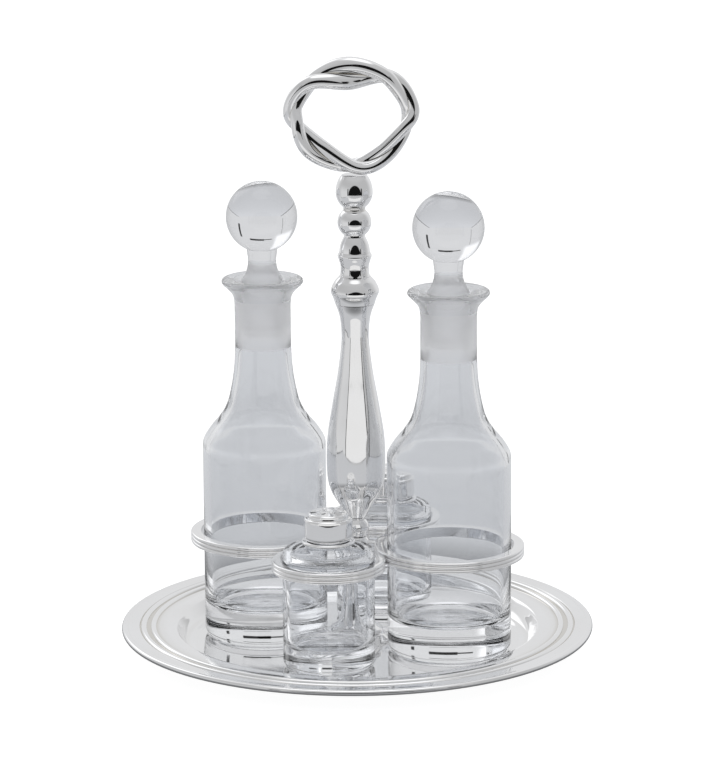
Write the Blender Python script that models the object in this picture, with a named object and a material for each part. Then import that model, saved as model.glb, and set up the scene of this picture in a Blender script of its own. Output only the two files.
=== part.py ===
"""Cruet set: a plated tray with a turned post, four reeded ring holders and a twisted ring handle.

Two stoppered glass bottles stand in the large rings and two glass shakers with metal caps in the
small ones. +Z is up and the origin is the centre of the tray's underside. The bottles stand on
the X axis and the shakers on the Y axis. The sizes here are in millimetres, heights from the
table, and become metres as each mesh is made.
"""

import math

import bmesh
import bpy
from mathutils import Matrix, Vector

MM = 0.001
GAP = 0.3  # clearance between pieces that touch, millimetres like every size below

# Tray
TRAY_R = 105.0
TRAY_T = 1.2
RIM_Z = 10.0
STEP_Z = 9.2
STEP_R = 88.0
WELL_R = 80.4
FLOOR_R = 75.6
DISH_WALL = (  # the well's wall, its upper side, from the step down to the floor
    (WELL_R + 1.2, STEP_Z),
    (WELL_R + 0.2, STEP_Z - 0.4),
    (WELL_R - 1.2, STEP_Z - 2.8),
    (FLOOR_R + 2.0, TRAY_T + 2.2),
    (FLOOR_R + 0.2, TRAY_T + 0.5),
    (FLOOR_R - 2.0, TRAY_T),
)
BAND_Z = RIM_Z - 0.3  # the flat band just inside the lip
BAND_R = 97.0
OUTER_REED = (95.2, 1.4)  # radius of its crest and half its width
INNER_REED = (90.9, 1.3)
TRAY_REED_H = 0.8
GROOVE_Z = RIM_Z - 0.6
LIP_ROUND = 0.9
LIP_LOW_Z = RIM_Z - 2.6
BOSS_R = 14.2
BOSS_TOP_R = 11.8
BOSS_TOP_Z = 5.4
TRAY_SEGMENTS = 40

# Tie rod, nut and washer that hold the post on the tray
ROD_R = 2.5
BORE_R = ROD_R + GAP
ROD_TOP_Z = 189.6
NUT_FLATS = 8.0
NUT_H = 2.4
WASHER_R = 6.0
WASHER_T = 0.7

# Post, bottom to top
POST_SEGMENTS = 16
FOOT_R = 11.4
FOOT_TOP_Z = 44.0
HUB_TOP_Z = 49.4
BEAD_Z = 53.4
BEAD_R = 5.6
BALUSTER_Z = 58.6
BEAD_LOW = (4.2, HUB_TOP_Z + GAP)
BEAD_TOP = ((4.0, BEAD_Z + 4.0), (4.4, BALUSTER_Z - GAP))
COLLAR_Z = 155.6
ACORN_Z = 167.8
STEM_Z = 185.6
STEM_TOP_Z = 212.8
LOWER_BALL = (191.7, 7.45, 7.1)  # height of its centre, radius and half its height
UPPER_BALL = (205.9, 8.1, 9.5)
STEM_NECK = (4.85, 197.75)  # between the balls
STEM_SHOULDER = (5.5, STEM_TOP_Z)
WAIST_R = 4.7  # where the acorn meets the stem
WALL = 1.6
HOLLOW_Z = (63.0, 148.0)  # the baluster is hollow between these heights
FOOT_OUTLINE = ((10.4, 7.7), (7.2, 11.2), (5.2, 20.0), (4.6, 32.0), (5.0, FOOT_TOP_Z))
HUB_OUTLINE = ((6.4, FOOT_TOP_Z + GAP), (6.8, 45.1), (6.6, 46.3), (4.6, HUB_TOP_Z))
BALUSTER_OUTLINE = (
    (4.6, BALUSTER_Z),
    (7.7, 64.4),
    (11.0, 70.2),
    (12.8, 78.0),
    (12.7, 94.0),
    (10.3, 110.0),
    (7.8, 124.0),
    (6.2, 137.0),
    (6.1, 143.0),
    (6.6, 148.4),
    (7.4, 151.8),
    (8.7, COLLAR_Z - GAP),
)
COLLAR_OUTLINE = (
    (8.8, COLLAR_Z),
    (9.3, 157.3),
    (9.8, 158.6),
    (10.5, 160.0),
    (10.7, 161.3),
    (10.3, 162.7),
    (9.6, 164.1),
    (8.9, 165.4),
    (7.4, 167.0),
    (7.0, ACORN_Z - GAP),
)
ACORN_OUTLINE = (
    (6.7, ACORN_Z),
    (6.3, 169.4),
    (6.3, 172.4),
    (7.1, 175.2),
    (7.5, 176.6),
    (7.3, 177.5),
    (6.7, 178.6),
    (6.5, 180.4),
    (5.8, 182.7),
    (WAIST_R, STEM_Z - GAP),
)

# Ring handle
HANDLE_TURN = math.radians(24.0)
HANDLE_CENTRE = (-0.9, 240.4)
HANDLE_STATIONS = (  # along the ring from its foot: across, up, spread of the strands, their radius
    (1.0, -23.8, 5.0, 3.0),
    (14.3, -18.4, 4.0, 2.7),
    (24.5, -5.0, 4.6, 2.8),
    (24.6, 4.5, 3.2, 2.5),
    (15.7, 15.1, 5.2, 3.3),
    (-0.4, 17.2, 7.3, 3.7),
    (-16.5, 14.2, 5.4, 3.4),
    (-25.3, 3.8, 3.2, 2.55),
    (-23.8, -5.5, 4.8, 3.0),
    (-15.4, -16.2, 5.4, 3.0),
)
STEPS_PER_STATION = 6
STRAND_POINTS = 8

# Ring holders
RING_Z = 46.9
RING_H = 5.0
LARGE_RING = (28.6, 33.2)
SMALL_RING = (20.9, 24.9)
REED_DEPTH = 0.8
RING_SEGMENTS = 28
BOTTLE_X = 43.0
VESSEL_Y = math.sqrt((LARGE_RING[1] + SMALL_RING[1] + GAP) ** 2 - BOTTLE_X**2)
ARM_W = 4.0
ARM_H = 3.0
ARM_LOW_Z = FOOT_TOP_Z + 0.9

# Bottles and stoppers
VESSEL_Z = TRAY_T + GAP
BOTTLE_R = 27.4
BOTTLE_SEGMENTS = 20
NECK_R = 12.4
LIP_R = 17.8
LIP_Z = 164.0
BORE_TOP_R = 9.6
BORE_LOW_R = 8.4
BORE_LOW_Z = 141.0
BALL_R = 15.8
BALL_Z = 191.7
SHANK_LOW_Z = 141.4
BOTTLE_SHOULDER = (
    (27.0, 91.1),
    (24.0, 96.1),
    (19.6, 101.5),
    (16.4, 107.1),
    (14.4, 114.5),
    (13.0, 123.5),
    (NECK_R, 133.5),
)
BOTTLE_LIP = (
    (NECK_R, 153.5),
    (13.2, 156.7),
    (15.0, 159.1),
    (17.3, 161.5),
    (LIP_R, 162.8),
    (LIP_R - 0.5, 163.8),
    (16.4, LIP_Z),
    (10.4, LIP_Z - 0.8),
)
BOTTLE_INSIDE = (  # from the mouth down to the middle of the thick base
    (BORE_TOP_R, LIP_Z - 1.3),
    (BORE_LOW_R, BORE_LOW_Z),
    (9.9, 138.1),
    (10.0, 131.5),
    (10.6, 122.5),
    (12.0, 113.5),
    (14.2, 104.9),
    (18.0, 98.5),
    (21.8, 93.3),
    (24.4, 87.5),
    (24.6, 21.5),
    (22.4, 16.5),
    (17.0, 14.7),
    (0.0, 14.5),
)
STOPPER_STEM = (  # above the ground shank, up to the ball
    (9.0, 164.2),
    (7.3, 166.2),
    (6.6, 168.8),
    (6.2, 172.6),
    (6.5, 175.2),
)

# Shakers
JAR_R = 20.2
JAR_SEGMENTS = 20
JAR_INNER_R = 17.6
SHOULDER_Z = 54.9
JAR_NECK_R = 9.0
JAR_NECK_TOP_Z = 66.4
JAR_BORE_R = 6.4
NECK_RING_R = 11.8
NECK_RING_Z = (56.6, 58.3)
CAP_R = 10.7
CAP_LOW_Z = 58.6
CAP_TOP_Z = 71.0
CAP_TIER_R = 9.0
CAP_SEGMENTS = 20
HOLE_R = 0.7
HOLE_CIRCLE_R = 4.2
HOLE_COUNT = 6
HOLE_TURN = math.radians(9.0)  # half a facet, so that no hole's corner falls on a facet's edge
JAR_INSIDE = (  # from the mouth down to the middle of the base
    (JAR_BORE_R, JAR_NECK_TOP_Z),
    (JAR_BORE_R, 55.5),
    (JAR_INNER_R - 2.4, 51.9),
    (JAR_INNER_R, 49.1),
    (JAR_INNER_R, 14.5),
    (JAR_INNER_R - 2.0, 11.1),
    (JAR_INNER_R - 6.0, 9.9),
    (0.0, 9.7),
)

SILVER = ("silver", (0.86, 0.86, 0.87, 1.0), 0.06, 1.0, 0.0)
STEEL = ("steel", (0.62, 0.62, 0.63, 1.0), 0.3, 1.0, 0.0)
GLASS = ("glass", (0.93, 0.94, 0.97, 1.0), 0.02, 0.0, 0.9)


def clear_scene():
    for item in list(bpy.data.objects):
        bpy.data.objects.remove(item, do_unlink=True)


def material(finish):
    name, colour, roughness, metallic, transmission = finish
    found = bpy.data.materials.get(name)
    if found:
        return found
    made = bpy.data.materials.new(name)
    made.use_nodes = True
    shader = made.node_tree.nodes["Principled BSDF"]
    shader.inputs["Base Color"].default_value = colour
    shader.inputs["Roughness"].default_value = roughness
    shader.inputs["Metallic"].default_value = metallic
    shader.inputs["Transmission Weight"].default_value = transmission
    return made


def place(name, mesh, finish, at=(0.0, 0.0, 0.0), parent=None):
    """An object for a mesh, smooth but for its corners, with its origin at a point in millimetres."""
    mesh.materials.append(material(finish))
    mesh.shade_smooth()
    mesh.set_sharp_from_angle(angle=math.radians(35))
    made = bpy.data.objects.new(name, mesh)
    made.location = Vector(at) * MM
    made.parent = parent
    bpy.context.scene.collection.objects.link(made)
    return made


def joint_axis(name, x, y):
    """An empty on the line along which a vessel lifts out of its ring."""
    empty = bpy.data.objects.new(name, None)
    empty.location = (x * MM, y * MM, 0.0)
    bpy.context.scene.collection.objects.link(empty)
    return empty


def arc(centre_r, centre_z, radius, start, end, steps):
    """Points (r, z) on an arc, its angles in degrees from the +r direction."""
    points = []
    for i in range(steps + 1):
        angle = math.radians(start + (end - start) * i / steps)
        points.append((centre_r + radius * math.cos(angle), centre_z + radius * math.sin(angle)))
    return points


def oval(ball, start, end, steps):
    """Points (r, z) on the side of a ball that is taller or flatter than round."""
    centre_z, radius, half_height = ball
    stretch = half_height / radius
    return [(r, centre_z + z * stretch) for r, z in arc(0.0, 0.0, radius, start, end, steps)]


def between(p0, p1, p2, p3, t):
    """A point of the smooth curve that runs from p1 to p2, t from 0 to 1."""
    return tuple(
        0.5 * (2 * b + (c - a) * t + (2 * a - 5 * b + 4 * c - d) * t * t + (3 * b - a - 3 * c + d) * t**3)
        for a, b, c, d in zip(p0, p1, p2, p3)
    )


def curve_through(points, steps):
    """A smooth open curve through the given points, with steps segments between each two."""
    made = []
    last = len(points) - 1
    for i in range(last):
        before = points[max(i - 1, 0)]
        after = points[min(i + 2, last)]
        for k in range(steps):
            made.append(between(before, points[i], points[i + 1], after, k / steps))
    made.append(points[-1])
    return made


def beneath(points, depth):
    """The same line moved a depth to the left of the way it runs, as thick plate has it."""
    normals = []
    for (r0, z0), (r1, z1) in zip(points, points[1:]):
        length = math.hypot(r1 - r0, z1 - z0)
        normals.append(((z0 - z1) / length, (r1 - r0) / length))
    made = []
    for i, (r, z) in enumerate(points):
        (ar, az), (br, bz) = normals[max(i - 1, 0)], normals[min(i, len(normals) - 1)]
        share = depth / (1 + ar * br + az * bz)
        made.append((r + (ar + br) * share, z + (az + bz) * share))
    return made


def turned(outline, segments, closed):
    """A mesh made by turning an outline of (r, z) about Z. A closed outline leaves a bore."""
    bm = bmesh.new()
    verts = [bm.verts.new((r * MM, 0.0, z * MM)) for r, z in outline]
    edges = [bm.edges.new(pair) for pair in zip(verts, verts[1:])]
    if closed:
        edges.append(bm.edges.new((verts[-1], verts[0])))
    bmesh.ops.spin(
        bm,
        geom=verts + edges,
        cent=(0, 0, 0),
        axis=(0, 0, 1),
        dvec=(0, 0, 0),
        angle=math.tau,
        steps=segments,
        use_merge=True,
    )
    bmesh.ops.remove_doubles(bm, verts=bm.verts, dist=0.000005)
    bmesh.ops.recalc_face_normals(bm, faces=bm.faces)
    mesh = bpy.data.meshes.new("turned")
    bm.to_mesh(mesh)
    bm.free()
    return mesh


def box_mesh(low, high):
    bm = bmesh.new()
    bmesh.ops.create_cube(bm, size=1.0)
    size = Vector(high) - Vector(low)
    middle = (Vector(high) + Vector(low)) / 2
    for v in bm.verts:
        v.co = Vector(v.co[i] * size[i] + middle[i] for i in range(3)) * MM
    mesh = bpy.data.meshes.new("box")
    bm.to_mesh(mesh)
    bm.free()
    return mesh


def combine(target, tool_mesh, operation):
    """Joins a tool to a piece, or cuts it away, and leaves one clean mesh."""
    tool = bpy.data.objects.new("tool", tool_mesh)
    tool.location = target.location
    tool.hide_render = True
    tool.display_type = "WIRE"
    bpy.context.scene.collection.objects.link(tool)
    boolean = target.modifiers.new("boolean", "BOOLEAN")
    boolean.operation = operation
    boolean.solver = "EXACT"
    boolean.object = tool
    bpy.context.view_layer.update()
    shown = target.evaluated_get(bpy.context.evaluated_depsgraph_get())
    mesh = bpy.data.meshes.new_from_object(shown)
    target.modifiers.clear()
    target.data = mesh
    bpy.data.objects.remove(tool, do_unlink=True)


def reed(crest, low_z):
    """A low half-round bead on the tray's rim, from its outer foot to its inner foot."""
    crest_r, half_width = crest
    side = 0.6 * half_width
    return [
        (crest_r + half_width, low_z),
        (crest_r + side, low_z + 0.75 * TRAY_REED_H),
        (crest_r, low_z + TRAY_REED_H),
        (crest_r - side, low_z + 0.75 * TRAY_REED_H),
        (crest_r - half_width, low_z),
    ]


def tray():
    """One skin: rolled lip, flat band, two reeds, step, well wall, floor and raised boss."""
    dish = [(STEP_R, STEP_Z), *DISH_WALL, (BOSS_R + 1.0, TRAY_T)]
    top = [(TRAY_R - 1.2, LIP_LOW_Z), (TRAY_R - 0.2, LIP_LOW_Z + 0.5), (TRAY_R, LIP_LOW_Z + 1.2)]
    top += arc(TRAY_R - LIP_ROUND, RIM_Z - LIP_ROUND, LIP_ROUND, 0, 90, 2)
    top += [(TRAY_R - 2.2, BAND_Z), (BAND_R, BAND_Z)]
    top += reed(OUTER_REED, GROOVE_Z) + reed(INNER_REED, GROOVE_Z)
    top += dish + [(BOSS_TOP_R, BOSS_TOP_Z), (BORE_R, BOSS_TOP_Z)]
    boss_low_z = BOSS_TOP_Z - TRAY_T
    low = [(BORE_R, boss_low_z), (BOSS_TOP_R - 0.8, boss_low_z), (BOSS_R, 0.0)]
    low += list(reversed(beneath(dish, TRAY_T)))[1:]
    low += [(STEP_R + 3.0, GROOVE_Z - TRAY_T), (TRAY_R - 2.6, BAND_Z - TRAY_T)]
    return place("tray", turned(top + low, TRAY_SEGMENTS, True), SILVER)


def fixings():
    """The rod through the post, and the washer and nut that draw it down in the tray's raised boss."""
    low_z = BOSS_TOP_Z - TRAY_T - GAP
    washer_low = low_z - WASHER_T
    washer = [(WASHER_R, low_z), (WASHER_R, washer_low), (BORE_R, washer_low), (BORE_R, low_z)]
    place("tray_washer", turned(washer, POST_SEGMENTS, True), STEEL)
    nut_top = washer_low - GAP
    nut_r = NUT_FLATS / math.sqrt(3)
    nut_low = nut_top - NUT_H
    hexagon = [(0, nut_top), (nut_r, nut_top), (nut_r, nut_low), (0, nut_low)]
    nut = place("tray_nut", turned(hexagon, 6, False), STEEL)
    bore = [(0, nut_top + 1), (BORE_R, nut_top + 1), (BORE_R, nut_low - 1), (0, nut_low - 1)]
    combine(nut, turned(bore, POST_SEGMENTS, False), "DIFFERENCE")
    rod = [(0, ROD_TOP_Z), (ROD_R - 0.6, ROD_TOP_Z), (ROD_R, ROD_TOP_Z - 0.6)]
    rod += [(ROD_R, nut_low + 0.4), (ROD_R - 0.4, nut_low), (0, nut_low)]
    place("tie_rod", turned(rod, POST_SEGMENTS, False), STEEL)


def post_piece(name, outer):
    """A turned piece of the post, bored for the tie rod."""
    low_z = outer[0][1]
    high_z = outer[-1][1]
    outline = [*outer, (BORE_R, high_z), (BORE_R, low_z)]
    return place(name, turned(outline, POST_SEGMENTS, True), SILVER)


def foot():
    low_z = BOSS_TOP_Z + GAP
    post_piece("post_foot", [(FOOT_R, low_z), (FOOT_R, low_z + 1.4), *curve_through(FOOT_OUTLINE, 2)])


def ring_bracket():
    """The hub between foot and bead, with one arm to each ring holder."""
    hub = post_piece("ring_bracket", HUB_OUTLINE)
    near = BORE_R + 1.0
    reach = (BOTTLE_X - LARGE_RING[1] - GAP, VESSEL_Y - SMALL_RING[1] - GAP)
    for axis in (0, 1):
        for side in (-1, 1):
            ends = sorted((side * near, side * reach[axis]))
            low = [-ARM_W / 2, -ARM_W / 2, ARM_LOW_Z]
            high = [ARM_W / 2, ARM_W / 2, ARM_LOW_Z + ARM_H]
            low[axis] = ends[0]
            high[axis] = ends[1]
            combine(hub, box_mesh(low, high), "UNION")


def lower_bead():
    ball = arc(0.0, BEAD_Z, BEAD_R, -38, 38, 6)
    post_piece("post_bead", [BEAD_LOW, *ball, *BEAD_TOP])


def baluster():
    """The vase-shaped part of the post, hollow round the tie rod and closed in at both ends."""
    outer = curve_through(BALUSTER_OUTLINE, 2)
    low_z, high_z = HOLLOW_Z
    inner = [(max(r - WALL, BORE_R), z) for r, z in outer[2::2] if low_z < z < high_z]
    top = [(BORE_R, outer[-1][1]), (BORE_R, high_z)]
    low = [(BORE_R, low_z), (BORE_R, BALUSTER_Z)]
    place("baluster", turned([*outer, *top, *reversed(inner), *low], POST_SEGMENTS, True), SILVER)


def upper_post():
    post_piece("baluster_collar", COLLAR_OUTLINE)
    post_piece("post_acorn", ACORN_OUTLINE)


def handle_stem():
    """Two balls in one piece, with a blind bore that takes the tie rod's end."""
    outline = [(0.0, ROD_TOP_Z + 1.2), (BORE_R, ROD_TOP_Z + GAP), (BORE_R, STEM_Z), (WAIST_R, STEM_Z)]
    outline += oval(LOWER_BALL, -51, 49, 7)
    outline += [STEM_NECK]
    outline += oval(UPPER_BALL, -53, 43, 7)
    outline += [STEM_SHOULDER, (0.0, STEM_TOP_Z)]
    place("handle_stem", turned(outline, POST_SEGMENTS, False), SILVER)


def strand_section(radius, spread, turn):
    """The outline of two round strands side by side, merged, turned about the ring's line."""
    half = spread / 2
    open_angle = math.acos(min(half / radius, 0.97))
    points = []
    for side in (0, 1):
        for i in range(STRAND_POINTS):
            angle = (open_angle - math.pi) + (math.tau - 2 * open_angle) * i / STRAND_POINTS
            point = Vector((radius * math.cos(angle) + half, radius * math.sin(angle)))
            points.append(Matrix.Rotation(turn + math.pi * side, 2) @ point)
    return points


def handle_ring():
    """Two strands twisted five half turns round an oval, cast as one ring."""
    count = len(HANDLE_STATIONS)
    total = count * STEPS_PER_STATION
    line = []
    for i in range(count):
        four = [HANDLE_STATIONS[(i + k) % count] for k in (-1, 0, 1, 2)]
        line += [between(*four, k / STEPS_PER_STATION) for k in range(STEPS_PER_STATION)]
    bm = bmesh.new()
    loops = []
    for i, (across, up, spread, radius) in enumerate(line):
        ahead = line[(i + 1) % total]
        behind = line[i - 1]
        along = Vector((ahead[0] - behind[0], ahead[1] - behind[1])).normalized()
        outward = Vector((along.y, -along.x))
        turn = math.pi / 2 * (1 - i / STEPS_PER_STATION)
        loop = []
        for a, b in strand_section(radius, spread, turn):
            x = HANDLE_CENTRE[0] + across + outward.x * a
            z = HANDLE_CENTRE[1] + up + outward.y * a
            loop.append(bm.verts.new(Vector((x, -b, z)) * MM))
        loops.append(loop)
    size = len(loops[0])
    for i in range(total):
        shift = STRAND_POINTS if i == total - 1 else 0
        after = loops[(i + 1) % total]
        for k in range(size):
            n = (k + 1) % size
            bm.faces.new((loops[i][k], loops[i][n], after[(n + shift) % size], after[(k + shift) % size]))
    bmesh.ops.recalc_face_normals(bm, faces=bm.faces)
    mesh = bpy.data.meshes.new("handle_ring")
    bm.to_mesh(mesh)
    bm.free()
    made = place("handle_ring", mesh, SILVER)
    made.rotation_euler = (0.0, 0.0, HANDLE_TURN)


def ring_holder(name, radii, x, y):
    inner, outer = radii
    half = RING_H / 2
    third = RING_H / 3
    outline = [(inner, -half), (outer - REED_DEPTH, -half)]
    for i in range(3):
        middle = -half + third * (i + 0.5)
        outline += [(outer, middle)]
        if i < 2:
            outline += [(outer - REED_DEPTH, middle + third / 2)]
    outline += [(outer - REED_DEPTH, half), (inner, half)]
    place(name, turned(outline, RING_SEGMENTS, True), SILVER, (x, y, RING_Z))


def bottle_outline():
    """From the middle of the base up the outside, over the lip and down the inside."""
    outer = [(0.0, VESSEL_Z), (BOTTLE_R - 2.0, VESSEL_Z), (BOTTLE_R - 0.5, VESSEL_Z + 0.5)]
    outer += [(BOTTLE_R, VESSEL_Z + 2.0), (BOTTLE_R, 87.5)]
    return [*outer, *BOTTLE_SHOULDER, *BOTTLE_LIP, *BOTTLE_INSIDE]


def stopper_outline():
    """A ground, tapered shank, a waisted stem and a solid ball."""
    shank = [(0.0, SHANK_LOW_Z), (7.4, SHANK_LOW_Z), (BORE_LOW_R - GAP, SHANK_LOW_Z + 0.6)]
    shank += [(BORE_TOP_R - GAP, LIP_Z - 1.3)]
    ball = arc(0.0, BALL_Z, BALL_R, -63, 90, 9)
    return [*shank, *STOPPER_STEM, *ball[:-1], (0.0, BALL_Z + BALL_R)]


def jar_outline():
    low_z = NECK_RING_Z[0]
    outer = [(0.0, VESSEL_Z), (JAR_R - 1.6, VESSEL_Z), (JAR_R, VESSEL_Z + 1.6)]
    outer += [(JAR_R, SHOULDER_Z - 4.0)]
    outer += arc(JAR_R - 3.2, SHOULDER_Z - 3.6, 3.2, 25, 80, 2)
    outer += [(JAR_NECK_R + 1.4, low_z - 3 * GAP), (JAR_NECK_R, low_z - GAP)]
    outer += [(JAR_NECK_R, JAR_NECK_TOP_Z - 0.5), (JAR_NECK_R - 0.5, JAR_NECK_TOP_Z)]
    return [*outer, *JAR_INSIDE]


def cap_outline():
    skirt_r = JAR_NECK_R + GAP
    outer = [(0.0, CAP_TOP_Z), (CAP_TIER_R - 0.8, CAP_TOP_Z - 0.4), (CAP_TIER_R, CAP_TOP_Z - 1.2)]
    outer += [(CAP_TIER_R, CAP_TOP_Z - 2.5)]
    outer += arc(CAP_R - 1.1, CAP_TOP_Z - 3.6, 1.1, 90, 0, 2)
    outer += [(CAP_R, CAP_LOW_Z + 0.5), (CAP_R - 0.4, CAP_LOW_Z)]
    inner = [(skirt_r, CAP_LOW_Z), (skirt_r, CAP_TOP_Z - 3.2)]
    inner += [(7.6, CAP_TOP_Z - 2.0), (0.0, CAP_TOP_Z - 1.8)]
    return outer + inner


def hole_tool():
    """Six round pegs in a circle and one in the middle, which cut the cap's sprinkle holes."""
    bm = bmesh.new()
    centres = [(0.0, 0.0)]
    for i in range(HOLE_COUNT):
        angle = HOLE_TURN + math.tau * i / HOLE_COUNT
        centres.append((HOLE_CIRCLE_R * math.cos(angle), HOLE_CIRCLE_R * math.sin(angle)))
    for x, y in centres:
        made = bmesh.ops.create_cone(
            bm, cap_ends=True, segments=8, radius1=HOLE_R * MM, radius2=HOLE_R * MM, depth=6.0 * MM
        )
        bmesh.ops.translate(bm, verts=made["verts"], vec=Vector((x, y, CAP_TOP_Z - 1.0)) * MM)
    mesh = bpy.data.meshes.new("holes")
    bm.to_mesh(mesh)
    bm.free()
    return mesh


def bottle(side, x):
    axis = joint_axis(f"bottle_{side}_axis", x, 0.0)
    glass = turned(bottle_outline(), BOTTLE_SEGMENTS, False)
    place(f"bottle_{side}", glass, GLASS, parent=axis)
    stopper = turned(stopper_outline(), BOTTLE_SEGMENTS, False)
    place(f"stopper_{side}", stopper, GLASS, parent=axis)


def shaker(side, y):
    axis = joint_axis(f"shaker_{side}_axis", 0.0, y)
    place(f"shaker_jar_{side}", turned(jar_outline(), JAR_SEGMENTS, False), GLASS, parent=axis)
    low_z, high_z = NECK_RING_Z
    inner_r = JAR_NECK_R + GAP
    collar = [(inner_r, low_z), (NECK_RING_R - 0.5, low_z), (NECK_RING_R, low_z + 0.5)]
    collar += [(NECK_RING_R, high_z - 0.5), (NECK_RING_R - 0.5, high_z), (inner_r, high_z)]
    place(f"neck_collar_{side}", turned(collar, CAP_SEGMENTS, True), SILVER, parent=axis)
    cap = place(f"shaker_cap_{side}", turned(cap_outline(), CAP_SEGMENTS, False), SILVER, parent=axis)
    cut_holes(cap)


def cut_holes(cap):
    """Cuts the sprinkle holes with the cap at the origin, where the pegs stand."""
    axis = cap.parent
    cap.parent = None
    combine(cap, hole_tool(), "DIFFERENCE")
    cap.parent = axis


def build():
    clear_scene()
    tray()
    fixings()
    foot()
    ring_bracket()
    lower_bead()
    baluster()
    upper_post()
    handle_stem()
    handle_ring()
    ring_holder("ring_left", LARGE_RING, -BOTTLE_X, 0.0)
    ring_holder("ring_right", LARGE_RING, BOTTLE_X, 0.0)
    ring_holder("ring_front", SMALL_RING, 0.0, -VESSEL_Y)
    ring_holder("ring_back", SMALL_RING, 0.0, VESSEL_Y)
    bottle("left", -BOTTLE_X)
    bottle("right", BOTTLE_X)
    shaker("front", -VESSEL_Y)
    shaker("back", VESSEL_Y)


build()
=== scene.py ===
"""Cruet set: the visual model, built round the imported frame.

Every turned piece is a fine solid of revolution on the axis that the frame gives it. Sizes are in
millimetres and heights are from the table, and MM turns them into the frame's metres. The studio and
the camera are in metres.
"""

import math

import bmesh
import bpy
from mathutils import Matrix, Quaternion, Vector


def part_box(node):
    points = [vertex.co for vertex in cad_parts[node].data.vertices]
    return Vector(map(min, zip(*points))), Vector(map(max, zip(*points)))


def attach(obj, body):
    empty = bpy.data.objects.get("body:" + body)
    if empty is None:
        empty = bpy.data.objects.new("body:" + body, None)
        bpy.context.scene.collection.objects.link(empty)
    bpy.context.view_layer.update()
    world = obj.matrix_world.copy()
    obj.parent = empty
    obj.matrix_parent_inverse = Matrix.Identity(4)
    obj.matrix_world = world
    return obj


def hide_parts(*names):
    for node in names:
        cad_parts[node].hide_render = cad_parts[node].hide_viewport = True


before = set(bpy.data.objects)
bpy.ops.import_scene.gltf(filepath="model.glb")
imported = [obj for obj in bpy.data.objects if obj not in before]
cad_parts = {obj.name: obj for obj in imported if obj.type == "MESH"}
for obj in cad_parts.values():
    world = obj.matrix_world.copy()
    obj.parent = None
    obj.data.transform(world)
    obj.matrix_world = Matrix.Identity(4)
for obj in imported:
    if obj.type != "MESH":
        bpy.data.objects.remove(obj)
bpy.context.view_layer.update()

MM = 0.001

# Steps round the axis
FINE = 160
MEDIUM = 96
SMALL = 64
SHARP = math.radians(50)  # an edge that turns more than this isn't shaded smooth

# Tray
TRAY_T = 1.2
RIM_Z = 10.0
LIP_R = 1.3
STEP_Z = 9.2
STEP_R = 88.0
GROOVE_Z = 9.4
REED_Z = 9.05  # the foot of the two reeds
REED_HEIGHT = 1.15
REEDS = ((90.9, 1.3), (95.2, 1.4))  # crest radius and half width of each
BAND_Z = 9.7
BOSS_R = 14.2
BOSS_TOP_R = 11.8
BOSS_TOP_Z = 5.4
# from the well's floor up to the step
DISH_WALL = ((72.0, 1.2), (75.8, 1.75), (77.6, 3.4), (79.2, 6.4), (80.6, 8.75), (82.4, 9.2))

# Post
BORE_R = 2.8  # for the tie rod
BEAD_Z = 53.4
BEAD_R = 5.6
BALUSTER_Z = 58.6
BALUSTER_SKIN = 1.6
BALUSTER_HOLLOW = (63.0, 148.0)
STEM_Z = 185.6
STEM_TOP_Z = 212.8
STEM_BORE_Z = 189.9  # the top of its blind bore
LOWER_BALL = (191.7, 7.45, 7.1)  # height of its middle, radius, half height
UPPER_BALL_LOW = (205.1, 8.15, 8.2)
UPPER_BALL_HIGH = (205.1, 8.15, 10.4)
STEM_NECK = (4.85, 197.75)

# Bracket
HUB_Z = 44.3
HUB_TOP_Z = 49.4
ARM_Z = 46.4
ARM_START = 3.8
ARM_WIDTH = 4.0
ARM_HEIGHT = 3.0
ARM_EDGE = 0.9

# Ring holders
HOLDER_WALL = 4.6
HOLDER_WALL_SMALL = 4.0
HOLDER_REEDS = 3
HOLDER_REED_H = 0.8
HOLDER_LEDGE = 0.3  # the flat strip above and below the reeds
HOLDER_EDGE = 0.5

# Handle's ring
HANDLE_TURN = math.radians(24.0)
HANDLE_CENTRE = (-0.9, 240.39)  # across and up
HANDLE_STATIONS = (  # along the ring from its foot: across, up, spread of the strands, their radius
    (1.0, -23.8, 5.0, 3.0),
    (14.3, -18.4, 4.0, 2.7),
    (24.5, -5.0, 4.6, 2.8),
    (24.6, 4.5, 3.2, 2.5),
    (15.7, 15.1, 5.2, 3.3),
    (-0.4, 17.2, 7.3, 3.7),
    (-16.5, 14.2, 5.4, 3.4),
    (-25.3, 3.8, 3.2, 2.55),
    (-23.8, -5.5, 4.8, 3.0),
    (-15.4, -16.2, 5.4, 3.0),
)
STEPS_PER_STATION = 18
STRAND_POINTS = 20
WIDEST_SPREAD = 0.97  # half of it, as a share of the radius, so that the strands stay joined

# Bottles and stoppers
FOOT_Z = 1.5  # 0.3 mm above the tray's floor
BOTTLE_R = 27.4
BOTTLE_BORE_R = 24.6
BOTTLE_SHOULDER_Z = 84.0
NECK_R = 12.4
BOTTLE_LIP = (16.9, 162.75, 1.2)
GROUND_REACH_R = 12.7  # faces of the neck within this radius are its bore
GROUND_LOW_Z = 140.6
GROUND_HIGH_Z = 171.5
SHANK_LOW_Z = 141.4
SHANK_TOP = (9.3, 162.7)
BALL_Z = 191.7
BALL_R = 15.8

# Shakers
JAR_R = 20.2
JAR_BORE_R = 17.6
JAR_SHOULDER = (17.0, 51.4, 3.2)
JAR_NECK_R = 9.0
JAR_TOP_Z = 66.4
COLLAR_BORE_R = 9.3
COLLAR_Z = (56.6, 58.3)
CAP_R = 10.7
CAP_BORE_R = 9.3
CAP_TOP_Z = 71.0
HOLES = 6  # round the one in the middle
HOLES_R = 4.2
HOLES_TURN = math.radians(9.0)
HOLE_R = 0.7
PEG_LENGTH = 6.0
PEG_Z = 70.0

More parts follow.
